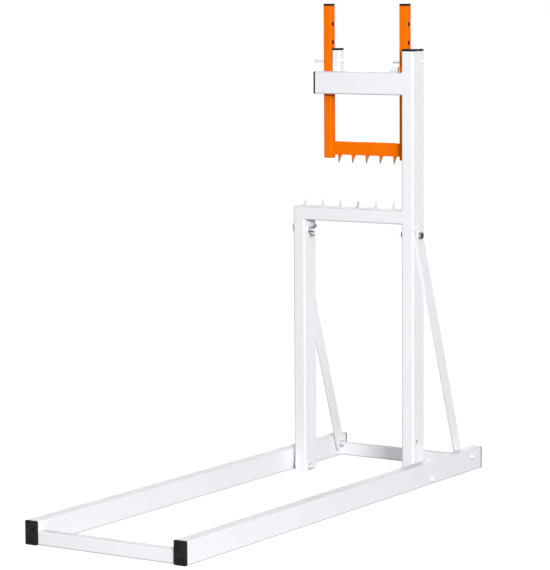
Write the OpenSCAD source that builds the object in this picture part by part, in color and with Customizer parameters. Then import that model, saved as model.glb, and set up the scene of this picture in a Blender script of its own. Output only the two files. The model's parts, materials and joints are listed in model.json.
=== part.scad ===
// Log saw stand: a bolted tube base, a folding post frame and a swinging toothed jaw.
// +X is the side of the tall post, -Y is the long end of the base, the floor is Z = 0.

/* [Base] */
// Length of each base rail tube, front to back
rail_len = 1187; // [1000:1:1400]
// Height of the rail tube
rail_h = 50; // [42:1:70]
// Width of the rail tube
rail_w = 30; // [22:1:45]
// Height of the two base crossbars
cross_h = 30; // [20:1:38]
// Depth of the two base crossbars, front to back
cross_d = 20; // [14:1:24]

/* [Tubes] */
// Wall of the large tubes
wall = 2; // [1.2:0.1:3]
// Outer corner radius of the large tubes
corner = 4; // [3.2:0.1:6]
// Rim thickness of the plastic end caps
cap_rim = 5; // [3:0.5:8]
// Length of an end cap's plug inside its tube
cap_plug = 14; // [8:1:25]
// Wall of an end cap's plug
cap_wall = 1.6; // [1:0.1:2.5]
// Bevel round the face of an end cap
cap_bevel = 1.2; // [0.4:0.1:2]

/* [Post frame] */
// Clear distance between the two posts
post_clear = 253.8; // [220:0.2:320]
// Width of a post tube, side to side
post_w = 30; // [24:1:40]
// Depth of a post tube, front to back
post_d = 50; // [44:1:70]
// Height of the lower bar's top face above the floor
work_h = 610; // [560:1:680]
// Height of the lower bar's tube
lower_h = 30; // [20:1:36]
// Height of the tall post's tube above the lower bar
tall_rise = 353; // [330:1:430]
// Distance from the rear end of a rail tube to the posts' front faces
post_back = 244; // [150:1:330]
// Distance from a post's front face to its foot bolt
foot_inset = 17; // [13:0.5:30]
// Distance from a post's front face to its strut bolt
strut_inset = 22; // [13:0.5:30]
// Height of the foot bolts
foot_z = 11.5; // [10.5:0.5:20]
// Height of the top crossbar's tube
top_h = 50; // [30:1:60]
// Depth of the top crossbar's tube, front to back
top_d = 30; // [20:1:34]
// Reach of the top crossbar's tube past the jaw's left upright
top_reach = 3; // [1:0.2:30]
// Distance from the tall post's top down to the top crossbar's underside
top_drop = 97; // [84:1:110]
// Diameter of the spare hole in the tall post's outer wall
spare_hole_d = 7; // [5:0.5:14]
// Height of the spare hole
spare_hole_z = 93; // [70:1:200]

/* [Struts] */
// Width of the strut's flat bar
strut_w = 30; // [24:1:31]
// Thickness of the strut's flat bar
strut_t = 4; // [3:0.5:6]
// Length of the strut beyond its upper bolt
strut_tail = 18; // [15:0.5:30]
// Length of the strut beyond its lower pivot
strut_end = 12; // [10:0.5:12.5]
// Thickness of the spacer between a strut and its rail
spacer_t = 5.2; // [3:0.1:8]
// Distance from the lower bar's top down to the upper strut bolts
strut_drop = 54; // [51:1:150]
// Distance from the rear end of a rail tube to the strut pivots
strut_back = 40; // [40:1:70]
// Height of the strut pivots
strut_low_z = 32.5; // [20:0.5:36]

/* [Jaw] */
// Side of the jaw's square tubes and of the stub's
jaw_tube = 20; // [16:0.5:22]
// Wall of the jaw's square tubes
jaw_wall = 2; // [1:0.1:2.5]
// Outer corner radius of the jaw's square tubes
jaw_corner = 3; // [2.6:0.1:4]
// Length of a jaw upright
jaw_len = 342; // [320:1:360]
// Length of a jaw upright above the pins
jaw_above = 122.5; // [90:0.5:140]
// Distance between the adjusting holes
hole_pitch = 41; // [25:1:42]
// Number of adjusting holes in each upright
hole_count = 3; // [1:1:3]
// Clear width between the jaw's uprights
jaw_clear = 177; // [170:1:185]
// Side gap from an upright to the tall post, and to the stub
jaw_gap = 3.5; // [1:0.5:6]
// Gap between the top crossbar and the jaw
jaw_run = 1; // [0.4:0.1:4]
// Height of the jaw's toothed bar
jaw_bar_h = 30; // [15:1:45]
// Depth of the jaw's toothed bar
jaw_bar_d = 10; // [6:1:16]
// Height of the toothed bar above the uprights' lower ends
jaw_bar_rise = 8; // [0:1:30]
// Distance from the tall post's top down to the pins
pin_drop = 23.5; // [16:0.5:26]
// Diameter of the pins
pin_d = 10; // [6:0.5:12]
// Bevel at the ends of the pins
pin_bevel = 1; // [0.2:0.1:2]
// Length of the pins
pin_len = 76; // [70:1:110]
// Length of a pin that stands out on its far side
pin_out = 2.4; // [0:0.1:4]

/* [Teeth] */
// Height of a tooth
tooth_h = 18; // [8:1:30]
// Length of a tooth's base, front to back
tooth_base = 10; // [5:1:16]
// Thickness of a tooth at its base
tooth_t = 5; // [3:0.5:8]
// Length of the blunt edge at a tooth's tip
tooth_tip = 0.8; // [0.4:0.1:3]
// Thickness of a tooth at its tip
tooth_tip_t = 1.6; // [0.6:0.1:2.5]
// Number of teeth on the lower bar
lower_teeth_count = 6; // [2:1:6]
// Distance between the lower teeth
lower_pitch = 46.3; // [20:0.1:52]
// Distance from the lower bar's front face to its teeth
lower_inset = 4; // [3:0.5:20]
// Number of teeth on the jaw's bar
jaw_teeth_count = 5; // [2:1:5]
// Distance between the jaw's teeth
jaw_pitch = 36; // [15:0.5:38]
// Distance from the left upright to the middle of the first jaw tooth
jaw_first = 17; // [4:0.5:22]

/* [Fasteners] */
// Shank diameter of the bolts
bolt_d = 8; // [6:0.5:10]
// Diameter of a bolt's domed head
head_d = 16; // [13:0.5:20]
// Height of a bolt's domed head
head_h = 4.6; // [3:0.1:6]
// Height of a bolt's hexagon head
hex_head_h = 5.3; // [4:0.1:7]
// Thickness of a washer
washer_t = 1.6; // [1:0.1:2.5]
// Outer diameter of a washer and of a spacer
washer_d = 17; // [15:0.5:21]
// Size of a hexagon nut or head across its flats
nut_flats = 13; // [11:0.5:17]
// Height of a hexagon nut
nut_h = 6.5; // [4:0.1:8]
// Bevel at the tip of a bolt
tip_bevel = 0.8; // [0.2:0.1:1.5]
// Length of thread that stands out of a nut
thread_out = 2; // [1:0.5:10]
// Length of thread that stands out of a wing nut
wing_thread_out = 2; // [1:0.5:12]
// Diameter of a wing nut's hub at its seat
wing_hub_d = 14; // [13:0.5:20]
// Height of a wing nut's hub
wing_hub_h = 9; // [8:0.5:12]
// Taper of a wing nut's hub, from its seat to its top
wing_hub_taper = 2; // [0.5:0.5:3]
// Width of a wing
wing_w = 6.4; // [5:0.1:7]
// Thickness of a wing
wing_t = 3.2; // [2:0.1:5]
// Length of a wing from its root to the middle of its round end
wing_len = 10.9; // [8:0.1:14]
// Angle of a wing from the nut's axis
wing_lean = 42; // [38:1:50]
// Distance of a wing's root from the nut's axis
wing_root = 4; // [3.6:0.1:4.4]
// Height of a wing's root above the seat
wing_rise = 3.2; // [3:0.1:4]
// Turn of the left wing nut from upright wings
wing_turn_left = -27; // [-90:1:90]
// Turn of the right wing nut from upright wings
wing_turn_right = 90; // [-90:1:90]

/* [Guide lug] */
// Length of the guide lug's foot on the top crossbar
lug_len = 25; // [12:1:40]
// Length of the guide lug's flat top
lug_top = 10; // [4:1:10]
// Height of the guide lug
lug_h = 12; // [5:0.5:13]
// Thickness of the guide lug
lug_t = 5; // [2:0.5:8]
// Reach of the guide lug past the left face of the jaw's right upright
lug_past = 3; // [0:0.5:15]

/* [Clearances] */
// Radial running clearance of a bolt or pin in its hole
run = 0.1; // [0.05:0.05:0.1]
// Slip between clamped faces that turn on each other
slip = 0.2; // [0.1:0.05:0.4]
// Clearance of an end cap's plug in its tube
plug_clear = 0.15; // [0.05:0.05:0.4]

/* [Hidden] */
$fn = 48;
// Overrun of every cut
over = 1;

// Widths, counted out from the middle of the stand
post_in = post_clear / 2;
post_out = post_in + post_w;
strut_in = post_out + slip;
strut_out = strut_in + strut_t;
rail_in = strut_out + slip + spacer_t;
rail_out = rail_in + rail_w;

// Places along the stand
rail_rear = rail_len / 2;
post_front = rail_rear - post_back;
post_y = post_front + post_d / 2;
foot_y = post_front + foot_inset;
bolt_y = post_front + strut_inset;
strut_y = rail_rear - strut_back;
top_rear = post_front + top_d;
jaw_y = top_rear + jaw_run + jaw_tube / 2;

// Heights above the floor
tall_h = work_h + tall_rise;
top_z = tall_h - top_drop;
pin_z = tall_h - pin_drop;
strut_top_z = work_h - strut_drop;

// The strut's lean and length between its bolts
strut_rise = strut_top_z - strut_low_z;
strut_reach = strut_y - bolt_y;
strut_lean = atan2(strut_reach, strut_rise);
strut_mid = norm([strut_rise, strut_reach]);

// The jaw's uprights hang on the left of the tall post and of the stub
jaw_right = post_in - jaw_gap - jaw_tube;
jaw_left = jaw_right - jaw_clear - jaw_tube;
stub_left = jaw_left + jaw_tube + jaw_gap;
top_len = post_in - jaw_left + top_reach;
jaw_top = pin_z + jaw_above;
jaw_foot = jaw_top - jaw_len;
jaw_bar_z = jaw_foot + jaw_bar_rise;
lug_right = jaw_right + lug_past;

// Bolts and holes
hole_d = bolt_d + 2 * run;
pin_hole_d = pin_d + 2 * run;
lower_bar_len = post_clear + post_w;
lower_teeth_mid = post_in - lower_bar_len / 2;
// Reach of a threaded stud into its post, past the inner wall
stud_in = 2 * wall;

// Colours of the finishes
coat_white = [0.93, 0.94, 0.95];
coat_orange = [0.96, 0.42, 0.02];
zinc = [0.74, 0.75, 0.77];
black_plastic = [0.06, 0.06, 0.065];

// A rectangle with round corners, centred
module round_rect(w, h, r) {
  square([w - 2 * r, h], center = true);
  square([w, h - 2 * r], center = true);
  for (x = [-1, 1], y = [-1, 1])
    translate([x * (w / 2 - r), y * (h / 2 - r)]) circle(r);
}

// The section of a tube
module tube_section(w, h, r, t) {
  difference() {
    round_rect(w, h, r);
    round_rect(w - 2 * t, h - 2 * t, r - t);
  }
}

// A straight tube that runs up from the XY plane
module tube(w, h, r, t, len) {
  linear_extrude(len) tube_section(w, h, r, t);
}

// Turns what stands along Z to lie along +X, with its Y side up
module along_x() {
  rotate([90, 0, 90]) children();
}

// Turns what stands along Z to lie along +Y, with its Y side up
module along_y() {
  rotate([90, 0, 180]) children();
}

// A round hole or shank along X from x1 to x2
module rod_x(d, x1, x2, y, z) {
  translate([x1, y, z]) rotate([0, 90, 0]) cylinder(d = d, h = x2 - x1);
}

// The outline of a cap's rim seen along one side: a rectangle with its two far corners cut off
module rim_outline(w) {
  polygon([
    [-w / 2, 0],
    [w / 2, 0],
    [w / 2, cap_rim - cap_bevel],
    [w / 2 - cap_bevel, cap_rim],
    [cap_bevel - w / 2, cap_rim],
    [-w / 2, cap_rim - cap_bevel]
  ]);
}

// A shank or pin along X from x1 to x2, with its ends bevelled by b1 and b2
module bevelled_rod_x(d, x1, x2, b1, b2) {
  len = x2 - x1;
  translate([x1, 0, 0]) rotate([0, 90, 0]) rotate_extrude()
    polygon([[0, 0], [d / 2 - b1, 0], [d / 2, b1], [d / 2, len - b2], [d / 2 - b2, len], [0, len]]);
}

// A plastic plug with a bevelled rim: the rim stands on the XY plane, the plug hangs below it
module end_cap(w, h, r, t) {
  in_w = w - 2 * t - 2 * plug_clear;
  in_h = h - 2 * t - 2 * plug_clear;
  in_r = r - t;
  intersection() {
    linear_extrude(cap_rim) round_rect(w, h, r);
    translate([0, h, 0]) rotate([90, 0, 0]) linear_extrude(2 * h) rim_outline(w);
    translate([-w, 0, 0]) along_x() linear_extrude(2 * w) rim_outline(h);
  }
  translate([0, 0, -cap_plug]) linear_extrude(cap_plug) difference() {
    round_rect(in_w, in_h, in_r);
    square([in_w - 2 * cap_wall, in_h - 2 * cap_wall], center = true);
  }
}

// A domed head with its seat on the XY plane, cut from a sphere
module dome_head() {
  dome_r = (pow(head_d / 2, 2) + pow(head_h, 2)) / (2 * head_h);
  rotate_extrude() intersection() {
    translate([0, head_h - dome_r]) circle(dome_r, $fn = 96);
    square([head_d / 2, head_h]);
  }
}

// A hexagon head with its seat on the XY plane
module hex_head() {
  cylinder(d = nut_flats / cos(30), h = hex_head_h, $fn = 6);
}

// A bolt along +X with the seat of its head at x = 0 and its head towards -X
module bolt(len) {
  rotate([0, -90, 0]) children();
  bevelled_rod_x(bolt_d, 0, len, 0, tip_bevel);
}

// A washer or a spacer from x1 to x2
module ring_x(x1, x2) {
  difference() {
    rod_x(washer_d, x1, x2, 0, 0);
    rod_x(hole_d, x1 - over, x2 + over, 0, 0);
  }
}

// A hexagon nut from x = 0 towards +X
module hex_nut() {
  difference() {
    rotate([0, 90, 0]) cylinder(d = nut_flats / cos(30), h = nut_h, $fn = 6);
    rod_x(hole_d, -over, nut_h + over, 0, 0);
  }
}

// A wing nut with its seat at x = 0, standing along +X, turned from upright wings
module wing_nut(turn) {
  hub_top_d = wing_hub_d - wing_hub_taper;
  difference() {
    rotate([0, 90, 0]) union() {
      cylinder(d1 = wing_hub_d, d2 = hub_top_d, h = wing_hub_h);
      rotate([90, 0, turn]) translate([0, 0, -wing_t / 2]) linear_extrude(wing_t)
        for (side = [0, 1]) mirror([side, 0]) translate([wing_root, wing_rise]) rotate(-wing_lean) {
          translate([-wing_w / 2, 0]) square([wing_w, wing_len]);
          translate([0, wing_len]) circle(d = wing_w);
        }
    }
    rod_x(hole_d, -over, wing_hub_h + over, 0, 0);
  }
}

// One tooth: a tapered fin that stands up from the XY plane, with its steep edge towards +Y at y = 0
module tooth() {
  intersection() {
    translate([-tooth_t, 0, 0]) along_x() linear_extrude(2 * tooth_t)
      polygon([[-tooth_base, 0], [0, 0], [0, tooth_h], [-tooth_tip, tooth_h]]);
    translate([0, over, 0]) rotate([90, 0, 0]) linear_extrude(tooth_base + 2 * over) polygon([
      [-tooth_t / 2, 0],
      [tooth_t / 2, 0],
      [tooth_tip_t / 2, tooth_h],
      [-tooth_tip_t / 2, tooth_h]
    ]);
  }
}

// Shapes that come in a left and a right hand are drawn on the right and mirrored
module on_side(side) {
  mirror([side < 0 ? 1 : 0, 0, 0]) children();
}

module rail(side) {
  on_side(side) color(coat_white) difference() {
    translate([rail_in + rail_w / 2, -rail_len / 2, rail_h / 2])
      along_y() tube(rail_w, rail_h, corner, wall, rail_len);
    rod_x(hole_d, rail_in - over, rail_out + over, foot_y, foot_z);
    rod_x(hole_d, rail_in - over, rail_out + over, strut_y, strut_low_z);
  }
}

module base_crossbar(y) {
  color(coat_white) translate([-rail_in, y + cross_d / 2, cross_h / 2])
    along_x() tube(cross_d, cross_h, corner, wall, 2 * rail_in);
}

module front_crossbar() {
  base_crossbar(-rail_len / 2);
}

module rear_crossbar() {
  base_crossbar(rail_rear - cross_d);
}

// A rail's end cap: end is -1 at the front and 1 at the rear
module rail_cap(side, end) {
  on_side(side) color(black_plastic) translate([rail_in + rail_w / 2, end * rail_rear, rail_h / 2])
    rotate([-end * 90, 0, 0]) end_cap(rail_w, rail_h, corner, wall);
}

// A fastener on both sides of the stand, drawn on the right with its axis at (y, z)
module both_sides(y, z) {
  for (side = [-1, 1]) on_side(side) translate([0, y, z]) children();
}

module foot_bolts() {
  color(zinc) both_sides(foot_y, foot_z) translate([rail_out, 0, 0]) mirror([1, 0, 0])
    bolt(rail_out - post_in + washer_t + nut_h + thread_out) dome_head();
}

module foot_spacers() {
  color(zinc) both_sides(foot_y, foot_z) ring_x(post_out + slip, rail_in);
}

module foot_washers() {
  color(zinc) both_sides(foot_y, foot_z) ring_x(post_in - slip - washer_t, post_in - slip);
}

module foot_nuts() {
  color(zinc) both_sides(foot_y, foot_z) translate([post_in - slip - washer_t, 0, 0])
    mirror([1, 0, 0]) hex_nut();
}

module strut_pivot_bolts() {
  color(zinc) both_sides(strut_y, strut_low_z) translate([rail_out, 0, 0]) mirror([1, 0, 0])
    bolt(rail_out - post_out + washer_t + nut_h + thread_out) dome_head();
}

module strut_pivot_washers() {
  color(zinc) both_sides(strut_y, strut_low_z) {
    ring_x(strut_out + slip, rail_in);
    ring_x(post_out - washer_t, post_out);
  }
}

module strut_pivot_nuts() {
  color(zinc) both_sides(strut_y, strut_low_z) translate([post_out - washer_t, 0, 0])
    mirror([1, 0, 0]) hex_nut();
}

// The corner piece that a mitre takes off the left post, or leaves of it on the lower bar
module mitre_cut(points) {
  translate([0, post_front + post_d + over, 0]) rotate([90, 0, 0]) linear_extrude(post_d + 2 * over)
    polygon(points);
}

module post_left() {
  color(coat_white) difference() {
    translate([-post_in - post_w / 2, post_y, 0]) tube(post_w, post_d, corner, wall, work_h);
    mitre_cut([
      [-post_out, work_h],
      [-post_in, work_h - lower_h],
      [-post_in, work_h + over],
      [-post_out, work_h + over]
    ]);
    rod_x(hole_d, -post_out - over, -post_in + over, foot_y, foot_z);
    rod_x(hole_d, -post_out - over, -post_in + over, bolt_y, strut_top_z);
  }
}

module post_right() {
  color(coat_white) difference() {
    translate([post_in + post_w / 2, post_y, 0]) tube(post_w, post_d, corner, wall, tall_h);
    rod_x(hole_d, post_in - over, post_out + over, foot_y, foot_z);
    rod_x(hole_d, post_in - over, post_out + over, bolt_y, strut_top_z);
    rod_x(pin_hole_d, post_in - over, post_out + over, jaw_y, pin_z);
    rod_x(spare_hole_d, post_out - wall - over, post_out + over, foot_y, spare_hole_z);
  }
}

module lower_bar() {
  color(coat_white) difference() {
    translate([-post_out, post_y, work_h - lower_h / 2])
      along_x() tube(post_d, lower_h, corner, wall, lower_bar_len);
    mitre_cut([
      [-post_out, work_h],
      [-post_in, work_h - lower_h],
      [-post_in, work_h - lower_h - over],
      [-post_out - over, work_h - lower_h - over],
      [-post_out - over, work_h]
    ]);
  }
}

module lower_teeth() {
  color(coat_white) for (i = [0 : lower_teeth_count - 1])
    translate([lower_teeth_mid + (i - (lower_teeth_count - 1) / 2) * lower_pitch,
      post_front + lower_inset + tooth_base, work_h]) tooth();
}

module top_crossbar() {
  color(coat_white) translate([post_in - top_len, post_front + top_d / 2, top_z + top_h / 2])
    along_x() tube(top_d, top_h, corner, wall, top_len);
}

module guide_stub() {
  color(coat_white) difference() {
    translate([stub_left + jaw_tube / 2, top_rear + jaw_tube / 2, top_z])
      tube(jaw_tube, jaw_tube, jaw_corner, jaw_wall, tall_h - top_z);
    rod_x(pin_hole_d, stub_left - over, stub_left + jaw_tube + over, jaw_y, pin_z);
  }
}

module guide_lug() {
  color(zinc) translate([lug_right, top_rear - corner - lug_t, top_z + top_h])
    translate([0, lug_t, 0]) rotate([90, 0, 0]) linear_extrude(lug_t)
      polygon([[-lug_len, 0], [0, 0], [0, lug_h], [-lug_top, lug_h]]);
}

module post_cap() {
  color(black_plastic) translate([post_in + post_w / 2, post_y, tall_h])
    end_cap(post_w, post_d, corner, wall);
}

module stub_cap() {
  color(black_plastic) translate([stub_left + jaw_tube / 2, top_rear + jaw_tube / 2, tall_h])
    end_cap(jaw_tube, jaw_tube, jaw_corner, jaw_wall);
}

module crossbar_cap() {
  color(black_plastic) translate([post_in - top_len, post_front + top_d / 2, top_z + top_h / 2])
    rotate([90, 0, -90]) end_cap(top_d, top_h, corner, wall);
}

// The threaded ends of the upper strut bolts, held in the posts' inner walls
module wing_studs() {
  stud_tip = post_in - washer_t - wing_hub_h - wing_thread_out;
  color(zinc) both_sides(bolt_y, strut_top_z)
    bevelled_rod_x(bolt_d, stud_tip, post_in + stud_in, tip_bevel, 0);
}

module wing_washers() {
  color(zinc) both_sides(bolt_y, strut_top_z) ring_x(post_in - washer_t, post_in);
}

// A strut: a flat bar with square ends and two bolt holes
module strut(side) {
  on_side(side) color(coat_white) translate([strut_in, strut_y, strut_low_z]) rotate([strut_lean, 0, 0])
    along_x() linear_extrude(strut_t) difference() {
      translate([-strut_w / 2, -strut_end]) square([strut_w, strut_end + strut_mid + strut_tail]);
      circle(d = hole_d);
      translate([0, strut_mid]) circle(d = hole_d);
    }
}

// The head end of an upper strut bolt, which stays in the strut when the frame folds
module strut_bolt(side) {
  on_side(side) color(zinc) translate([strut_out + washer_t, bolt_y, strut_top_z]) mirror([1, 0, 0])
    bolt(washer_t + strut_t) hex_head();
}

module strut_washer(side) {
  on_side(side) color(zinc) translate([0, bolt_y, strut_top_z]) ring_x(strut_out, strut_out + washer_t);
}

module wing_nut_at(side, turn) {
  on_side(side) color(zinc) translate([post_in - washer_t - slip, bolt_y, strut_top_z])
    mirror([1, 0, 0]) wing_nut(turn);
}

// A jaw upright with its left face at x, drilled for the pins from the lowest hole up
module jaw_upright(x) {
  color(coat_orange) difference() {
    translate([x + jaw_tube / 2, jaw_y, jaw_foot]) tube(jaw_tube, jaw_tube, jaw_corner, jaw_wall, jaw_len);
    for (i = [0 : hole_count - 1])
      rod_x(pin_hole_d, x - over, x + jaw_tube + over, jaw_y, pin_z + i * hole_pitch);
  }
}

module jaw_bar() {
  color(coat_orange) translate([jaw_left + jaw_tube, jaw_y - jaw_bar_d / 2, jaw_bar_z])
    cube([jaw_clear, jaw_bar_d, jaw_bar_h]);
}

module jaw_teeth() {
  color(coat_orange) for (i = [0 : jaw_teeth_count - 1])
    translate([jaw_left + jaw_tube + jaw_first + i * jaw_pitch, jaw_y - tooth_base / 2, jaw_bar_z])
      rotate([180, 0, 0]) tooth();
}

module jaw_cap(x) {
  color(black_plastic) translate([x + jaw_tube / 2, jaw_y, jaw_top])
    end_cap(jaw_tube, jaw_tube, jaw_corner, jaw_wall);
}

// A plain pin that ends just outside the far face of what it passes through
module pin(far_face) {
  color(zinc) translate([far_face + pin_out, jaw_y, pin_z])
    bevelled_rod_x(pin_d, -pin_len, 0, pin_bevel, pin_bevel);
}

rail(-1);  // rail_left
rail(1);  // rail_right
front_crossbar();
rear_crossbar();
rail_cap(-1, -1);  // rail_cap_front_left
rail_cap(1, -1);  // rail_cap_front_right
rail_cap(-1, 1);  // rail_cap_rear_left
rail_cap(1, 1);  // rail_cap_rear_right
foot_bolts();
foot_spacers();
foot_washers();
foot_nuts();
strut_pivot_bolts();
strut_pivot_washers();
strut_pivot_nuts();
post_left();
post_right();
lower_bar();
lower_teeth();
top_crossbar();
guide_stub();
guide_lug();
post_cap();
stub_cap();
crossbar_cap();
wing_studs();
wing_washers();
strut(-1);  // strut_left
strut_bolt(-1);  // strut_bolt_left
strut_washer(-1);  // strut_washer_left
strut(1);  // strut_right
strut_bolt(1);  // strut_bolt_right
strut_washer(1);  // strut_washer_right
wing_nut_at(-1, wing_turn_left);  // wing_nut_left
wing_nut_at(1, wing_turn_right);  // wing_nut_right
jaw_upright(jaw_left);  // jaw_upright_left
jaw_upright(jaw_right);  // jaw_upright_right
jaw_bar();
jaw_teeth();
jaw_cap(jaw_left);  // jaw_cap_left
jaw_cap(jaw_right);  // jaw_cap_right
pin(stub_left + jaw_tube);  // pin_left
pin(post_out);  // pin_right
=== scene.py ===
"""Log saw stand: finishes, weld beads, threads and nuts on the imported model, in a plain studio."""
import json

import bpy
import numpy as np
from mathutils import Matrix, Vector


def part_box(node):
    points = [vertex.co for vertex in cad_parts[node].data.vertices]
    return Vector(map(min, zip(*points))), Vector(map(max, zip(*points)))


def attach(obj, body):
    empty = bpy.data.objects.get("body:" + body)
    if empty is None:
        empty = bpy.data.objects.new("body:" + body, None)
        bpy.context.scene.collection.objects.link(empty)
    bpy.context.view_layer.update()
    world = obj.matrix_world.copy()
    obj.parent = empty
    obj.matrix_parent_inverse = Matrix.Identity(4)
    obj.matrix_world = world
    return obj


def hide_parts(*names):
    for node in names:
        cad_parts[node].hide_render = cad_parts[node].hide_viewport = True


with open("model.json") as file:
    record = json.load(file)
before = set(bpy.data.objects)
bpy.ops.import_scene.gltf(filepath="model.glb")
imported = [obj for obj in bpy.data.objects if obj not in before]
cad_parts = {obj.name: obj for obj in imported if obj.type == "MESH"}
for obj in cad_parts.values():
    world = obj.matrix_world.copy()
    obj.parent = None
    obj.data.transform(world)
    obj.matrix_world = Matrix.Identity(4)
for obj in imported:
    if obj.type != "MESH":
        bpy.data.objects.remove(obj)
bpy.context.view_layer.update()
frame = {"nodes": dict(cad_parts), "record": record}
nodes = frame["nodes"]

MM = 0.001
WHOLE_TURN = 2 * np.pi
BOTH_HANDS = (-1, 1)
TUBE_CORNER = 4 * MM

# Node helpers

# The mix node has sockets for every kind of value: these are its share, two colours and colour result
MIX_SHARE = 0
MIX_COLOURS = (6, 7)
MIX_RESULT = 2


def new_finish(name):
    """An empty material with its shader and the object's own coordinates ready to use."""
    finish = bpy.data.materials.new(name)
    finish.use_nodes = True
    tree = finish.node_tree
    shader = tree.nodes["Principled BSDF"]
    place = tree.nodes.new("ShaderNodeTexCoord").outputs["Object"]
    return finish, tree, shader, place


def feed(tree, value, socket):
    """Links a socket to another one, or sets it to a plain value."""
    if isinstance(value, bpy.types.NodeSocket):
        tree.links.new(value, socket)
    else:
        socket.default_value = value


def maths(tree, operation, *values):
    """One sum on values, each a number or a socket."""
    node = tree.nodes.new("ShaderNodeMath")
    node.operation = operation
    for socket, value in zip(node.inputs, values):
        feed(tree, value, socket)
    return node.outputs["Value"]


def largest(tree, first, *others):
    """The largest of several values."""
    for other in others:
        first = maths(tree, "MAXIMUM", first, other)
    return first


def vector_maths(tree, operation, *vectors):
    """The outputs of one sum on vectors, each plain or a socket."""
    node = tree.nodes.new("ShaderNodeVectorMath")
    node.operation = operation
    for socket, vector in zip(node.inputs, vectors):
        feed(tree, vector, socket)
    return node.outputs


def parts_of(tree, vector):
    """The X, Y and Z of a vector."""
    split = tree.nodes.new("ShaderNodeSeparateXYZ")
    tree.links.new(vector, split.inputs["Vector"])
    return tuple(split.outputs)


def facing(tree):
    """The way a face looks, in the object's own frame."""
    return tree.nodes.new("ShaderNodeTexCoord").outputs["Normal"]


def rounded_normal(tree, radius):
    """The normal of a face as if its sharp edges were rounded to a radius."""
    rounded = tree.nodes.new("ShaderNodeBevel")
    rounded.samples = 4
    rounded.inputs["Radius"].default_value = radius
    return rounded.outputs["Normal"]


def noise(tree, place, scale, detail=3.0, rough=0.5, stretch=None):
    """Noise on the object's coordinates, stretched per axis where a finish has a direction."""
    if stretch is not None:
        mapping = tree.nodes.new("ShaderNodeMapping")
        mapping.inputs["Scale"].default_value = stretch
        tree.links.new(place, mapping.inputs["Vector"])
        place = mapping.outputs["Vector"]
    node = tree.nodes.new("ShaderNodeTexNoise")
    node.inputs["Scale"].default_value = scale
    node.inputs["Detail"].default_value = detail
    node.inputs["Roughness"].default_value = rough
    tree.links.new(place, node.inputs["Vector"])
    return node.outputs["Fac"]


def spread(tree, value, low, high, to=(0.0, 1.0)):
    """Maps a value from one range to another, and holds it inside that range."""
    node = tree.nodes.new("ShaderNodeMapRange")
    for socket, number in zip(("From Min", "From Max", "To Min", "To Max"), (low, high, *to)):
        node.inputs[socket].default_value = number
    tree.links.new(value, node.inputs["Value"])
    return node.outputs["Result"]


def mixed(tree, share, first, second):
    """A colour between two, by share; each is a colour or a socket."""
    node = tree.nodes.new("ShaderNodeMix")
    node.data_type = "RGBA"
    tree.links.new(share, node.inputs[MIX_SHARE])
    for at, colour in zip(MIX_COLOURS, (first, second)):
        feed(tree, (*colour, 1.0) if isinstance(colour, tuple) else colour, node.inputs[at])
    return node.outputs[MIX_RESULT]


# Where a finish changes on a piece


def edge_share(tree, radius):
    """How near a point is to a sharp edge, from the angle between the face and its rounded normal."""
    face = tree.nodes.new("ShaderNodeNewGeometry").outputs["True Normal"]
    likeness = vector_maths(tree, "DOT_PRODUCT", rounded_normal(tree, radius), face)["Value"]
    return spread(tree, likeness, 1.0, 0.8)


def painted_underside_shade_share(tree, most):
    """Painted shade and dark reflection: nought on faces that look up or sideways, rising to the most on
    faces that look down.
    """
    up = parts_of(tree, facing(tree))[2]
    return spread(tree, up, -0.10, -0.65, to=(0.0, most))


def end_share(tree):
    """One on faces that look along the object's X, falling to nought on faces that look across it."""
    along = parts_of(tree, facing(tree))[0]
    return spread(tree, maths(tree, "ABSOLUTE", along), 0.6, 0.9)


def painted_corner_shade_share(tree):
    """Painted shade for round corners, which damps their highlight: nought on faces that look straight
    along an axis of the object, rising to one on a tube's round corners, where the largest part of the
    normal falls towards the root of a half."""
    sizes = parts_of(tree, vector_maths(tree, "ABSOLUTE", facing(tree))["Vector"])
    return spread(tree, largest(tree, *sizes), 0.98, 0.75)


def inside_share(tree, place, tube):
    """One inside an upright square tube, from how far a point is from the tube's axis along X or Y, and
    nought outside."""
    low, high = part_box(tube)
    from_axis = vector_maths(tree, "SUBTRACT", place, (low + high) / 2)["Vector"]
    x, y, _ = parts_of(tree, vector_maths(tree, "ABSOLUTE", from_axis)["Vector"])
    half = (high.x - low.x) / 2
    return spread(tree, largest(tree, x, y), half - 1.0 * MM, half - 1.3 * MM)


# Finishes

# Round corners are painted this much darker: painted shade that damps their highlight
PAINTED_CORNER_SHADE = 0.86
TUBE_INSIDE = (0.030, 0.024, 0.020)
RUST = (0.26, 0.13, 0.05)
RUSTY_REACH = 12 * MM
RAGGED = 2.2 * MM
PLASTIC_SHINE = 0.12

# Each coat: bright, shaded and rubbed
WHITE = ((0.880, 0.892, 0.920), (0.855, 0.868, 0.895), (0.58, 0.58, 0.59))
ORANGE = ((0.975, 0.180, 0.001), (0.940, 0.166, 0.001), (0.62, 0.17, 0.03))
# Painted shade on the narrow edge faces of the struts
PAINTED_SHADE_EDGE_WHITE = (0.76, 0.77, 0.79)
WHITE_GLOSS, WHITE_SHINE = (0.55, 0.70), 0.06
ORANGE_GLOSS, ORANGE_SHINE = (0.36, 0.50), 0.03

# Each zinc plate: bright, dull, and a dark colour painted on edges and undersides as painted dark
# reflection and shade
ZINC = ((0.90, 0.91, 0.93), (0.80, 0.81, 0.83), (0.06, 0.06, 0.065))
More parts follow.
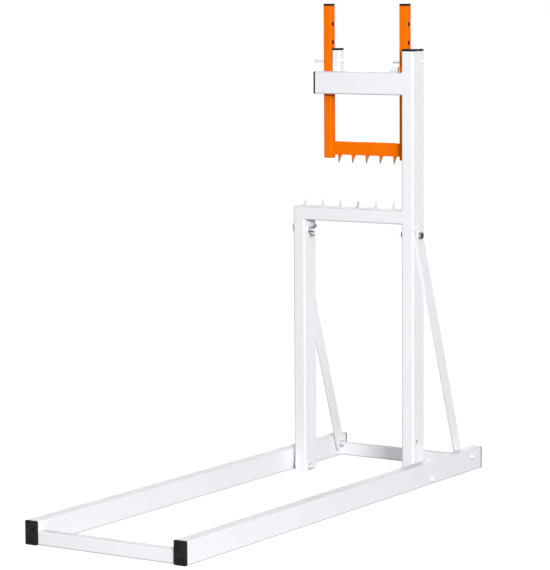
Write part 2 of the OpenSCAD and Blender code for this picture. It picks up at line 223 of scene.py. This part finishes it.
# A lighter copy of the zinc: painted light for the left strut bolt, which sits in shade
PAINTED_LIT_ZINC = ((0.96, 0.96, 0.97), (0.90, 0.90, 0.91), (0.50, 0.50, 0.51))
CAST_ZINC = ((0.70, 0.71, 0.73), (0.50, 0.51, 0.53), (0.02, 0.02, 0.022))
DARK_ZINC = ((0.42, 0.42, 0.43), (0.32, 0.32, 0.33), (0.07, 0.07, 0.075))
# Painted dark reflection on faces that look along X
PAINTED_DARK_END_REFLECTION = (0.05, 0.05, 0.055)
TURNED = (1400.0, 30.0, 30.0)
CAST = (500.0, 500.0, 500.0)

# Bare steel of worn teeth: bright and dull
PALE_STEEL = ((0.80, 0.80, 0.81), (0.66, 0.66, 0.67))
DARK_STEEL = ((0.34, 0.29, 0.22), (0.22, 0.18, 0.13))


def relief(tree, shader, height, strength, depth, edge_radius):
    """Fine relief over softly rounded edges."""
    bump = tree.nodes.new("ShaderNodeBump")
    bump.inputs["Strength"].default_value = strength
    bump.inputs["Distance"].default_value = depth
    tree.links.new(height, bump.inputs["Height"])
    tree.links.new(rounded_normal(tree, edge_radius), bump.inputs["Normal"])
    tree.links.new(bump.outputs["Normal"], shader.inputs["Normal"])


def uneven_gloss(tree, shader, pattern, gloss):
    """Roughness that wanders between two values with a noise pattern."""
    tree.links.new(spread(tree, pattern, 0.3, 0.7, to=gloss), shader.inputs["Roughness"])


def coat_colour(tree, place, bright, shaded, rubbed):
    """Cloudy powder coat with painted shade on round corners, and rubbed thin in spots along the edges."""
    clouds = spread(tree, noise(tree, place, scale=9.0, detail=5.0, rough=0.6), 0.3, 0.7)
    coat = mixed(tree, clouds, bright, shaded)
    painted_corner_colour = tuple(PAINTED_CORNER_SHADE * part for part in bright)
    coat = mixed(tree, painted_corner_shade_share(tree), coat, painted_corner_colour)
    spots = spread(tree, noise(tree, place, scale=130.0, detail=6.0, rough=0.7), 0.52, 0.68, to=(0.0, 0.7))
    return mixed(tree, maths(tree, "MULTIPLY", edge_share(tree, 0.9 * MM), spots), coat, rubbed)


def powder_coat(name, colours, gloss, shine, painted_shade_edges=None, bare_inside=()):
    """Powder coat: slightly cloudy colour, orange-peel relief, uneven gloss and rubbed edges, with painted
    shade on the narrow edges of flat bar that lies across X where asked, and dark bare steel inside the
    tubes named."""
    finish, tree, shader, place = new_finish(name)
    shader.inputs["Specular IOR Level"].default_value = shine
    coat = coat_colour(tree, place, *colours)
    if painted_shade_edges is not None:
        coat = mixed(tree, end_share(tree), painted_shade_edges, coat)
    for tube in bare_inside:
        coat = mixed(tree, inside_share(tree, place, tube), coat, TUBE_INSIDE)
    tree.links.new(coat, shader.inputs["Base Color"])
    uneven_gloss(tree, shader, noise(tree, place, scale=45.0, detail=7.0, rough=0.65), gloss)
    peel = noise(tree, place, scale=620.0, detail=2.0)
    relief(tree, shader, peel, strength=0.22, depth=0.12 * MM, edge_radius=0.7 * MM)
    return finish


def worn_tooth_coat(name, colours, steel, metal, bare_from, bare_at, shine, rusty_at=None):
    """Powder coat that is worn through to bare steel towards the tooth tips, along Z with a ragged edge,
    and patchy rust on the tooth at one X where asked."""
    finish, tree, shader, place = new_finish(name)
    shader.inputs["Specular IOR Level"].default_value = shine
    coat = coat_colour(tree, place, *colours)
    bare_steel = mixed(tree, noise(tree, place, scale=220.0, detail=5.0, rough=0.6), *steel)
    x, _, z = parts_of(tree, place)
    wander = spread(tree, noise(tree, place, scale=320.0, detail=4.0), 0.2, 0.8, to=(-RAGGED, RAGGED))
    bare = spread(tree, maths(tree, "ADD", z, wander), bare_from, bare_at)
    worn = mixed(tree, bare, coat, bare_steel)
    if rusty_at is not None:
        near = maths(tree, "COMPARE", x, rusty_at, RUSTY_REACH)
        patches = noise(tree, place, scale=170.0, detail=5.0, rough=0.6)
        patchy = spread(tree, patches, 0.42, 0.56, to=(0.0, 0.6))
        worn = mixed(tree, maths(tree, "MULTIPLY", near, patchy), worn, RUST)
    tree.links.new(worn, shader.inputs["Base Color"])
    tree.links.new(spread(tree, bare, 0.0, 1.0, to=(0.0, metal)), shader.inputs["Metallic"])
    uneven_gloss(tree, shader, noise(tree, place, scale=90.0, detail=6.0), (0.3, 0.5))
    grit = noise(tree, place, scale=700.0, detail=3.0)
    relief(tree, shader, grit, strength=0.3, depth=0.12 * MM, edge_radius=0.5 * MM)
    return finish


def plated_steel(name, colours, painted_rim, under, gloss, grain, painted_end_reflection=None):
    """Zinc plate on steel: mottled colour with painted dark reflection and shade within the rim's width of
    an edge and underneath, fine relief that is stretched into rings along X where the piece was turned, and
    a painted dark reflection on end faces where asked."""
    finish, tree, shader, place = new_finish(name)
    bright, dull, painted_dark = colours
    mottle = spread(tree, noise(tree, place, scale=160.0, detail=6.0, rough=0.65), 0.35, 0.65)
    plate = mixed(tree, mottle, bright, dull)
    # Painted dark reflection on end faces where asked, then painted dark reflection and shade on undersides
    # and along the edges
    if painted_end_reflection is not None:
        plate = mixed(tree, end_share(tree), plate, painted_end_reflection)
    plate = mixed(tree, painted_underside_shade_share(tree, under), plate, painted_dark)
    tree.links.new(mixed(tree, edge_share(tree, painted_rim), plate, painted_dark), shader.inputs["Base Color"])
    shader.inputs["Metallic"].default_value = 1.0
    uneven_gloss(tree, shader, noise(tree, place, scale=300.0, detail=5.0, rough=0.6), gloss)
    rings = noise(tree, place, scale=1.0, detail=3.0, rough=0.6, stretch=grain)
    relief(tree, shader, rings, strength=0.18, depth=0.08 * MM, edge_radius=0.4 * MM)
    return finish


def moulded_plastic(name, dark, pale, gloss):
    """Moulded plastic: spark-eroded grain, slight chalking, and soft edges."""
    finish, tree, shader, place = new_finish(name)
    shader.inputs["Specular IOR Level"].default_value = PLASTIC_SHINE
    chalk = spread(tree, noise(tree, place, scale=60.0, detail=6.0, rough=0.7), 0.38, 0.68)
    tree.links.new(mixed(tree, chalk, dark, pale), shader.inputs["Base Color"])
    uneven_gloss(tree, shader, noise(tree, place, scale=500.0, detail=4.0), gloss)
    grain = noise(tree, place, scale=1500.0, detail=2.0)
    relief(tree, shader, grain, strength=0.35, depth=0.1 * MM, edge_radius=0.8 * MM)
    return finish


white_coat = powder_coat("white_powder_coat", WHITE, WHITE_GLOSS, WHITE_SHINE)
strut_coat = powder_coat("white_strut_coat", WHITE, WHITE_GLOSS, WHITE_SHINE, painted_shade_edges=PAINTED_SHADE_EDGE_WHITE)
orange_coat = powder_coat("orange_powder_coat", ORANGE, ORANGE_GLOSS, ORANGE_SHINE,
                          bare_inside=("jaw_upright_left", "jaw_upright_right"))
# The rim width and under share set how much painted dark reflection and shade each zinc gets along edges
# and undersides
bright_zinc = plated_steel("bright_zinc", ZINC, 0.5 * MM, under=0.6, gloss=(0.26, 0.42), grain=TURNED)
pin_zinc = plated_steel("pin_zinc", ZINC, 0.15 * MM, under=0.3, gloss=(0.26, 0.42), grain=TURNED)
# Painted light: a lighter zinc with almost no dark rims, for the left strut bolt and washer in shade
painted_lit_zinc = plated_steel("painted_lit_zinc", PAINTED_LIT_ZINC, 0.05 * MM, under=0.2, gloss=(0.34, 0.50), grain=TURNED)
# Wide painted dark rims and undersides draw the wing nuts' dark outlines
cast_zinc = plated_steel("cast_zinc", CAST_ZINC, 2.2 * MM, under=0.95, gloss=(0.30, 0.48), grain=CAST)
dark_zinc = plated_steel("dark_zinc", DARK_ZINC, 0.5 * MM, under=0.9, gloss=(0.34, 0.52), grain=CAST,
                         painted_end_reflection=PAINTED_DARK_END_REFLECTION)
cap_plastic = moulded_plastic("cap_plastic", dark=(0.003, 0.003, 0.003), pale=(0.022, 0.020, 0.021),
                              gloss=(0.45, 0.60))

lower_low, lower_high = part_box("lower_teeth")
lower_foot = lower_low.z
jaw_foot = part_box("jaw_teeth")[1].z
# The fourth of six teeth stands three fifths of the way along the row
fourth_tooth = lower_low.x + 0.6 * (lower_high.x - lower_low.x)
lower_tooth_coat = worn_tooth_coat("worn_white_teeth", WHITE, PALE_STEEL, metal=0.4,
                                   bare_from=lower_foot - 1 * MM, bare_at=lower_foot + 3 * MM,
                                   shine=0.4, rusty_at=fourth_tooth)
jaw_tooth_coat = worn_tooth_coat("worn_orange_teeth", ORANGE, DARK_STEEL, metal=0.8,
                                 bare_from=jaw_foot - 4 * MM, bare_at=jaw_foot - 10 * MM,
                                 shine=ORANGE_SHINE)

finish_of_slot = {
    "white_coat": white_coat,
    "orange_coat": orange_coat,
    "zinc": bright_zinc,
    "dark_zinc": dark_zinc,
    "black_plastic": cap_plastic,
}
for part in frame["record"]["subparts"]:
    mesh = nodes[part["node"]].data
    mesh.materials.clear()
    mesh.materials.append(finish_of_slot[part["material_slot"]])
finish_of_node = {
    "strut_left": strut_coat,
    "strut_right": strut_coat,
    "pin_left": pin_zinc,
    "pin_right": pin_zinc,
    "wing_nut_left": cast_zinc,
    "wing_nut_right": cast_zinc,
    "strut_bolt_left": painted_lit_zinc,
    "strut_washer_left": painted_lit_zinc,
    "foot_spacers": dark_zinc,
    "lower_teeth": lower_tooth_coat,
    "jaw_teeth": jaw_tooth_coat,
}
for name, finish in finish_of_node.items():
    nodes[name].data.materials[0] = finish

# Surfaces and pieces


def grid_faces(rows, columns, wrap_rows=False):
    """Faces of a grid whose columns close on themselves, and its rows too where asked: each corner is
    joined to the next column, the next row, and both."""
    row = np.arange(rows if wrap_rows else rows - 1)[:, None]
    column = np.arange(columns)[None, :]
    next_row = (row + 1) % rows
    next_column = (column + 1) % columns
    corners = [row * columns + column, row * columns + next_column,
               next_row * columns + next_column, next_row * columns + column]
    return np.stack([c.ravel() for c in np.broadcast_arrays(*corners)], axis=1)


def closed_faces(rows, columns):
    """Faces of a grid whose columns close on themselves, and one face over each of its ends."""
    ring = np.arange(columns)
    return [grid_faces(rows, columns), np.stack([ring[::-1], (rows - 1) * columns + ring])]


def put(name, surfaces, finish, body, smooth=True):
    """One piece from a list of surfaces, each its points in metres and its arrays of faces, riding on a
    body."""
    points, faces, start = [], [], 0
    for surface_points, face_arrays in surfaces:
        points.append(surface_points)
        for array in face_arrays:
            faces += (array + start).tolist()
        start += len(surface_points)
    mesh = bpy.data.meshes.new(name)
    mesh.from_pydata(np.concatenate(points).tolist(), [], faces)
    mesh.polygons.foreach_set("use_smooth", np.full(len(mesh.polygons), smooth))
    mesh.materials.append(finish)
    piece = bpy.data.objects.new(name, mesh)
    bpy.context.scene.collection.objects.link(piece)
    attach(piece, body)
    return piece


def round_x(x, sizes, angle, y, z):
    """Points round an axis along X at y and z: each row of sizes is a ring of radii at its own x."""
    rings = [np.broadcast_to(x[:, None], sizes.shape), y + sizes * np.cos(angle), z + sizes * np.sin(angle)]
    return np.stack(rings, axis=2).reshape(-1, 3)


def at_x(x, outline):
    """The points of an outline in the YZ plane, moved to x."""
    return np.column_stack([np.full(len(outline), x), outline])


# Weld beads

RIPPLE = 1.7 * MM
FINE_RIPPLE = 1.3 * MM
RIPPLE_SAMPLES = 5
SWELL = 0.10
CORNER_STEPS = 5

# Radii of the beads
TUBE_BEAD = 1.6 * MM
MITRE_BEAD = 1.1 * MM
STUB_BEAD = 1.5 * MM
JAW_BEAD = 1.8 * MM
SMALL_BEAD = 0.9 * MM

# How far a bead stops short of an edge, and how deep its path lies under a face
CROSSBAR_SHORT = 5 * MM
MITRE_SHORT = 3 * MM
LUG_SHORT = 1 * MM
TOOTH_SHORT = 0.6 * MM
MITRE_SUNK = 0.3 * MM
STUB_SUNK = 0.4 * MM

# Corners of the bars that a bead follows
CROSSBAR_CORNER = 3 * MM
JAW_BAR_CORNER = 0.8 * MM

# A step in X that is larger than this parts one tooth's points from the next one's
TOOTH_STEP = 8 * MM


def even_path(corners, step, closed):
    """Points at an even step along straight runs between corners, and the length of them all: each
    coordinate is read off at equal lengths."""
    corners = np.asarray(corners, float)
    if closed:
        corners = np.vstack([corners, corners[:1]])
    reach = np.concatenate([[0.0], np.cumsum(np.linalg.norm(np.diff(corners, axis=0), axis=1))])
    count = max(int(round(reach[-1] / step)), 4)
    at = np.linspace(0.0, reach[-1], count + 1)[: count if closed else None]
    return np.stack([np.interp(at, reach, corners[:, k]) for k in range(3)], axis=1), reach[-1]


def round_corners(low, high, r):
    """A bar's outline in the YZ plane: a quarter of a circle at each corner, from the upper back one over
    the upper front and lower front to the lower back one."""
    quarter = np.linspace(0.0, np.pi / 2, CORNER_STEPS)
    centres = np.array([[high.y - r, high.z - r], [low.y + r, high.z - r],
                        [low.y + r, low.z + r], [high.y - r, low.z + r]])
    turn = quarter[None, :] + np.arange(4)[:, None] * np.pi / 2
    arc = np.stack([np.cos(turn), np.sin(turn)], axis=2) * r
    return (centres[:, None, :] + arc).reshape(-1, 2)


def end_curve(from_end):
    """How an ellipse's height rises with the distance from its end, both from nought to one."""
    return np.clip(1.0 - (1.0 - from_end) ** 2, 0.0, 1.0)


def bead(corners, radius, closed=False, ripple=RIPPLE, sides=10):
    """A weld bead: a circle carried along the path. Its radius swells by a tenth once per ripple, as the
    puddle was laid down, and an open bead's radius falls to nearly nothing at its ends like the end of an
    ellipse that is one and a half radii long."""
    path, length = even_path(corners, ripple / RIPPLE_SAMPLES, closed)
    if closed:
        along = np.roll(path, -1, axis=0) - np.roll(path, 1, axis=0)
    else:
        along = np.gradient(path, axis=0)
    along /= np.linalg.norm(along, axis=1)[:, None]
    # No bead runs along this slant, so it always gives a side
    slant = np.array([0.31, 0.53, 0.79])
    side = np.cross(along, slant)
    side /= np.linalg.norm(side, axis=1)[:, None]
    rise = np.cross(along, side)
    at = np.linspace(0.0, 1.0, len(path), endpoint=not closed)
    waves = max(round(length / ripple), 1)
    size = radius * (1.0 + SWELL * np.cos(WHOLE_TURN * waves * at))
    if not closed:
        from_end = np.clip(np.minimum(at, 1.0 - at) * length / (1.5 * radius), 0.0, 1.0)
        size *= np.sqrt(np.maximum(end_curve(from_end), 0.02))
    angle = np.linspace(0.0, WHOLE_TURN, sides, endpoint=False)
    ring = np.cos(angle)[None, :, None] * side[:, None, :] + np.sin(angle)[None, :, None] * rise[:, None, :]
    points = (path[:, None, :] + size[:, None, None] * ring).reshape(-1, 3)
    return points, [grid_faces(len(path), sides, True)] if closed else closed_faces(len(path), sides)


def bead_behind_tube(x, low, high):
    """A bead on a tube's end that is butted to a face at x: from the front over the top, down the back and
    under to the lower front corner, because the front itself is ground flush."""
    from_lower_front = np.roll(round_corners(low, high, TUBE_CORNER), -2 * CORNER_STEPS, axis=0)
    return bead(at_x(x, from_lower_front[CORNER_STEPS - 1:])[::-1], TUBE_BEAD)


def flush_fill(low, high, rows=48, columns=13):
    """A weld ground flush over the groove between the end of a tube, given by its lowest and highest
    corners, and a post's round corner. Across its width w the front face stands out by 0.25 mm times one
    less (2 a / w) squared, from just under both faces. Its ends sink in like the end of an ellipse, to
    follow the tube's round edges."""
    overlap, crown_height, sunk_edge, depth = 1.0 * MM, 0.25 * MM, 0.12 * MM, 1.6 * MM
    across = np.linspace(-1.0, 1.0, columns)
    x = high.x + TUBE_CORNER / 2 + across * (TUBE_CORNER / 2 + overlap)
    z = np.linspace(low.z, high.z, rows)
    from_end = np.clip(np.minimum(z - low.z, high.z - z) / TUBE_CORNER, 0.0, 1.0)
    sunk = TUBE_CORNER * (1.0 - np.sqrt(end_curve(from_end)))
    crown = crown_height * (1.0 - across ** 2) - sunk_edge
    front = low.y + sunk[:, None] - crown[None, :]
    back = low.y + sunk[:, None] + np.full((1, 2), depth)
    y = np.concatenate([front, back], axis=1)
    x = np.concatenate([x, x[[-1, 0]]])
    grid = [np.broadcast_to(x, y.shape), y, np.broadcast_to(z[:, None], y.shape)]
    return np.stack(grid, axis=2).reshape(-1, 3), closed_faces(rows, columns + 2)


def base_beads():
    """Beads over the top of each crossbar's ends and down the side that faces the posts."""
    beads = []
    for bar, inward in (("front_crossbar", 1), ("rear_crossbar", -1)):
        low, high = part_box(bar)
        inner, outer = (high.y, low.y) if inward > 0 else (low.y, high.y)
        arch = np.array([
            [outer + inward * CROSSBAR_SHORT, high.z],
            [inner - inward * CROSSBAR_CORNER, high.z],
            [inner, high.z - CROSSBAR_CORNER],
            [inner, low.z + CROSSBAR_CORNER],
        ])
        beads += [bead(at_x(x, arch), SMALL_BEAD, ripple=FINE_RIPPLE) for x in (low.x, high.x)]
    return beads


def frame_beads():
    """Beads of the post frame: lower bar to tall post, mitre, top crossbar to tall post, stub and lug."""
    low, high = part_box("lower_bar")
    left_low, left_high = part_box("post_left")
    top_low, top_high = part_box("top_crossbar")
    stub_low, stub_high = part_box("guide_stub")
    lug_low, lug_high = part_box("guide_lug")
    back = left_high.y - MITRE_SUNK
    mitre = [
        [left_high.x, left_low.y + TUBE_CORNER, low.z],
        [left_high.x, back, low.z],
        [left_low.x + MITRE_SHORT, back, high.z - MITRE_SHORT],
    ]
    beads = [bead_behind_tube(high.x, low, high), bead(mitre, MITRE_BEAD),
             bead_behind_tube(top_high.x, top_low, top_high)]
    stub_ends = (top_low.z + TUBE_CORNER, top_high.z - TUBE_CORNER)
    for x in (stub_low.x + STUB_SUNK, stub_high.x - STUB_SUNK):
        beads.append(bead([[x, top_high.y, z] for z in stub_ends], STUB_BEAD))
    lug_ends = (lug_low.x + LUG_SHORT, lug_high.x - LUG_SHORT)
    for y in (lug_low.y, lug_high.y):
        beads.append(bead([[x, y, lug_low.z] for x in lug_ends], SMALL_BEAD))
    return beads


def jaw_beads():
    """Beads right round both ends of the jaw's bar."""
    low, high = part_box("jaw_bar")
    outline = round_corners(low, high, JAW_BAR_CORNER)
    return [bead(at_x(x, outline), JAW_BEAD, closed=True) for x in (low.x, high.x)]


def tooth_sides(node):
    """The X of each tooth's left side, then of each one's right side, from the clear steps between the
    sorted points of a node."""
    mesh = nodes[node].data
    points = np.empty(len(mesh.vertices) * 3, np.float32)
    mesh.vertices.foreach_get("co", points)
    x = np.unique(np.round(points.reshape(-1, 3)[:, 0], 4))
    breaks = np.where(np.diff(x) > TOOTH_STEP)[0]
    firsts = np.concatenate([[0], breaks + 1])
    lasts = np.concatenate([breaks, [len(x) - 1]])
    return np.concatenate([x[firsts], x[lasts]])


def tooth_beads(node, z):
    """A small bead along both sides of each tooth's foot."""
    low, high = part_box(node)
    ends = (low.y + TOOTH_SHORT, high.y - TOOTH_SHORT)
    runs = [[[x, y, z] for y in ends] for x in tooth_sides(node)]
    return [bead(run, SMALL_BEAD, ripple=FINE_RIPPLE) for run in runs]


flush_welds = [flush_fill(*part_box(bar)) for bar in ("lower_bar", "top_crossbar")]
put("base_weld_beads", base_beads(), white_coat, "base")
put("frame_weld_beads", frame_beads(), white_coat, "post_frame")
put("flush_welds", flush_welds, white_coat, "post_frame")
put("jaw_weld_beads", jaw_beads(), orange_coat, "jaw")
put("lower_tooth_beads", tooth_beads("lower_teeth", lower_foot), white_coat, "post_frame")
put("jaw_tooth_beads", tooth_beads("jaw_teeth", jaw_foot), orange_coat, "jaw")

# Threads and nuts

SHANK = 4 * MM
PITCH = 1.25 * MM
PLAIN_TIP = 0.7 * MM
NUT_HEIGHT = 6.5 * MM
NUT_FLATS = 13 * MM
NUT_BORE = 8.2 * MM
BOLT_PAST_NUT = 2 * MM
WING_NUT_DEPTH = 9 * MM
STUD_PAST_NUT = 1.8 * MM


def thread(x_from, x_to, y, z, around=40):
    """A screw thread along X: at a distance a along the shank and an angle t round it, the radius is the
    shank's plus a triangle wave of a / pitch - t / turn, and it sinks into the shank at both ends."""
    under, lift, ridge_height, rows_per_pitch = 0.08 * MM, 0.04 * MM, 0.34 * MM, 14
    rows = int(abs(x_to - x_from) / PITCH * rows_per_pitch) + 2
    along = np.linspace(min(x_from, x_to), max(x_from, x_to), rows)
    angle = np.linspace(0.0, WHOLE_TURN, around, endpoint=False)
    phase = (along[:, None] / PITCH - angle[None, :] / WHOLE_TURN) % 1.0
    ridge = 1.0 - np.abs(2.0 * phase - 1.0)
    from_end = np.minimum(along - along[0], along[-1] - along)
    fade = np.clip(from_end / (0.5 * PITCH), 0.0, 1.0)[:, None]
    size = SHANK - under + (lift + ridge_height * ridge) * fade
    return round_x(along, size, angle, y, z), closed_faces(rows, around)


def middle(node):
    """The Y and Z of a fastener's axis."""
    low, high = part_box(node)
    return (low.y + high.y) / 2, (low.z + high.z) / 2


def hex_nut(x_seat, x_far, y, z, around=72):
    """A hexagon nut along X, as a profile carried round its axis: at an angle t the outside is the
    hexagon's radius, half the flats over the cosine of t within its sixth, and never more than a 30 degree
    cone at either end."""
    turned_off, cone_foot, lip_width = 1.1 * MM, 0.955 * NUT_FLATS / 2, 0.5 * MM
    height = abs(x_far - x_seat)
    angle = np.linspace(0.0, WHOLE_TURN, around, endpoint=False)
    hexagon = NUT_FLATS / 2 / np.cos((angle + np.pi / 6) % (np.pi / 3) - np.pi / 6)
    chamfer = np.linspace(0.0, turned_off, 7)
    down = np.concatenate([chamfer, [height / 2], height - chamfer[::-1]])
    cone = cone_foot + np.minimum(down, height - down) * np.tan(np.pi / 3)
    outside = np.minimum(hexagon[None, :], cone[:, None])
    lip = np.full((1, around), NUT_BORE / 2 + lip_width)
    wall = np.full((2, around), NUT_BORE / 2)
    sizes = np.vstack([outside, lip, wall, lip])
    levels = np.concatenate([down, [height], [height - lip_width, lip_width], [0.0]])
    x = x_seat + np.sign(x_far - x_seat) * levels
    faces = grid_faces(len(levels), around, wrap_rows=True)
    return round_x(x, sizes, angle, y, z), [faces[:, ::-1] if x_far < x_seat else faces]


def nut_pair(name, node):
    """Both nuts of a node, with their corners turned off."""
    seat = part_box(node)[1].x
    nuts = [hex_nut(hand * seat, hand * (seat - NUT_HEIGHT), *middle(node)) for hand in BOTH_HANDS]
    piece = put(name, nuts, bright_zinc, "base", smooth=False)
    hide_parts(node)


bolt_ends = [(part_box(nut)[1].x - NUT_HEIGHT, middle(bolt))
             for nut, bolt in (("foot_nuts", "foot_bolts"), ("strut_pivot_nuts", "strut_pivot_bolts"))]
base_threads = [thread(hand * nut_in, hand * (nut_in - BOLT_PAST_NUT + PLAIN_TIP), *axis)
                for hand in BOTH_HANDS for nut_in, axis in bolt_ends]
wing_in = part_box("wing_nut_right")[1].x - WING_NUT_DEPTH
stud_threads = [thread(hand * wing_in, hand * (wing_in - STUD_PAST_NUT + PLAIN_TIP), *middle("wing_studs"))
                for hand in BOTH_HANDS]
put("bolt_threads", base_threads, bright_zinc, "base")
put("stud_threads", stud_threads, bright_zinc, "post_frame")
nut_pair("turned_foot_nuts", "foot_nuts")
nut_pair("turned_pivot_nuts", "strut_pivot_nuts")

# Studio

FLOOR_REACH = 60.0
FLOOR_COLOUR = (0.32, 0.32, 0.323, 1.0)
FLOOR_GLOW = 0.90
SURROUND_LIGHT = 0.17
PURE_WHITE = (1.0, 1.0, 1.0, 1.0)
SENSOR = 36.0
PHOTO_HEIGHT = 570.0


def seen_rays(tree):
    """One for camera, glossy and transmitted rays, and nought for the rest."""
    path = tree.nodes.new("ShaderNodeLightPath").outputs
    return largest(tree, path["Is Camera Ray"], path["Is Glossy Ray"], path["Is Transmission Ray"])


def pale_floor():
    """A wide pale floor: a plain matt surface that keeps shadows, and shows as white to the camera and in
    gloss."""
    mesh = bpy.data.meshes.new("studio_floor")
    corners = [(x * FLOOR_REACH, y * FLOOR_REACH, 0) for x, y in ((-1, -1), (1, -1), (1, 1), (-1, 1))]
    mesh.from_pydata(corners, [], [(0, 1, 2, 3)])
    finish = bpy.data.materials.new("studio_floor")
    finish.use_nodes = True
    tree = finish.node_tree
    tree.nodes.clear()
    matt = tree.nodes.new("ShaderNodeBsdfDiffuse")
    matt.inputs["Color"].default_value = FLOOR_COLOUR
    glow = tree.nodes.new("ShaderNodeEmission")
    glow.inputs["Color"].default_value = PURE_WHITE
    lift = spread(tree, seen_rays(tree), 0.0, 1.0, to=(0.0, FLOOR_GLOW))
    tree.links.new(lift, glow.inputs["Strength"])
    both = tree.nodes.new("ShaderNodeAddShader")
    tree.links.new(matt.outputs["BSDF"], both.inputs[0])
    tree.links.new(glow.outputs["Emission"], both.inputs[1])
    out = tree.nodes.new("ShaderNodeOutputMaterial")
    tree.links.new(both.outputs["Shader"], out.inputs["Surface"])
    mesh.materials.append(finish)
    floor = bpy.data.objects.new("studio_floor", mesh)
    bpy.context.scene.collection.objects.link(floor)


def pale_surroundings():
    """An even pale world that lights softly and shows as white."""
    world = bpy.data.worlds.new("studio_world")
    bpy.context.scene.world = world
    world.use_nodes = True
    tree = world.node_tree
    back = tree.nodes["Background"]
    back.inputs["Color"].default_value = PURE_WHITE
    strength = spread(tree, seen_rays(tree), 0.0, 1.0, to=(SURROUND_LIGHT, 1.0))
    tree.links.new(strength, back.inputs["Strength"])


def held(name, data):
    """A lamp or lens in a holder of its own in the scene."""
    holder = bpy.data.objects.new(name, data)
    bpy.context.scene.collection.objects.link(holder)
    return holder


def soft_light(name, from_side, width, power):
    """A broad soft light from one side, as wide as the angle says, that falls evenly over the floor."""
    lamp = bpy.data.lights.new(name, "SUN")
    lamp.angle = np.radians(width)
    lamp.energy = power
    held(name, lamp).rotation_euler = (-Vector(from_side)).to_track_quat("-Z", "Y").to_euler()


def soft_box(name, stand, target, width, height, power):
    """A wide softbox that looks from where it stands at a target."""
    lamp = bpy.data.lights.new(name, "AREA")
    lamp.shape = "RECTANGLE"
    lamp.size = width
    lamp.size_y = height
    lamp.energy = power
    holder = held(name, lamp)
    holder.location = stand
    holder.rotation_euler = (Vector(target) - Vector(stand)).to_track_quat("-Z", "Y").to_euler()


def photo_camera(lens_px, azimuth, elevation, roll, target, distance):
    """A camera at the photograph's angle: it looks along the azimuth and down by the elevation at a
    target."""
    a, e, r = np.radians([azimuth, elevation, roll])
    ahead = np.array([-np.sin(a) * np.cos(e), np.cos(a) * np.cos(e), -np.sin(e)])
    level = np.array([np.cos(a), np.sin(a), 0.0])
    over = np.cross(level, ahead)
    right = np.cos(r) * level + np.sin(r) * over
    up = np.cross(right, ahead)
    lens = bpy.data.cameras.new("photo_camera")
    lens.sensor_width = SENSOR
    lens.lens = lens_px * SENSOR / PHOTO_HEIGHT
    lens.clip_end = 200.0
    holder = held("photo_camera", lens)
    turn = np.eye(4)
    turn[:3, 0], turn[:3, 1], turn[:3, 2] = right, up, -ahead
    turn[:3, 3] = np.array(target) - ahead * distance
    holder.matrix_world = Matrix(turn.tolist())
    bpy.context.scene.camera = holder


bpy.context.scene.view_settings.view_transform = "Standard"
pale_floor()
pale_surroundings()
soft_box("front_light", stand=(4.66, -4.99, 2.10), target=(0.16, 0.37, 0.50), width=2.0, height=0.8,
         power=432.0)
soft_light("upper_light", from_side=(0.687, -0.550, 0.476), width=34.0, power=0.946)
soft_light("rear_light", from_side=(-0.55, 0.82, 0.055), width=40.0, power=3.1)
photo_camera(lens_px=2621.347, azimuth=32.836, elevation=6.684, roll=-0.387,
             target=(-0.207253, 0.3495, 0.426427), distance=6.007114)
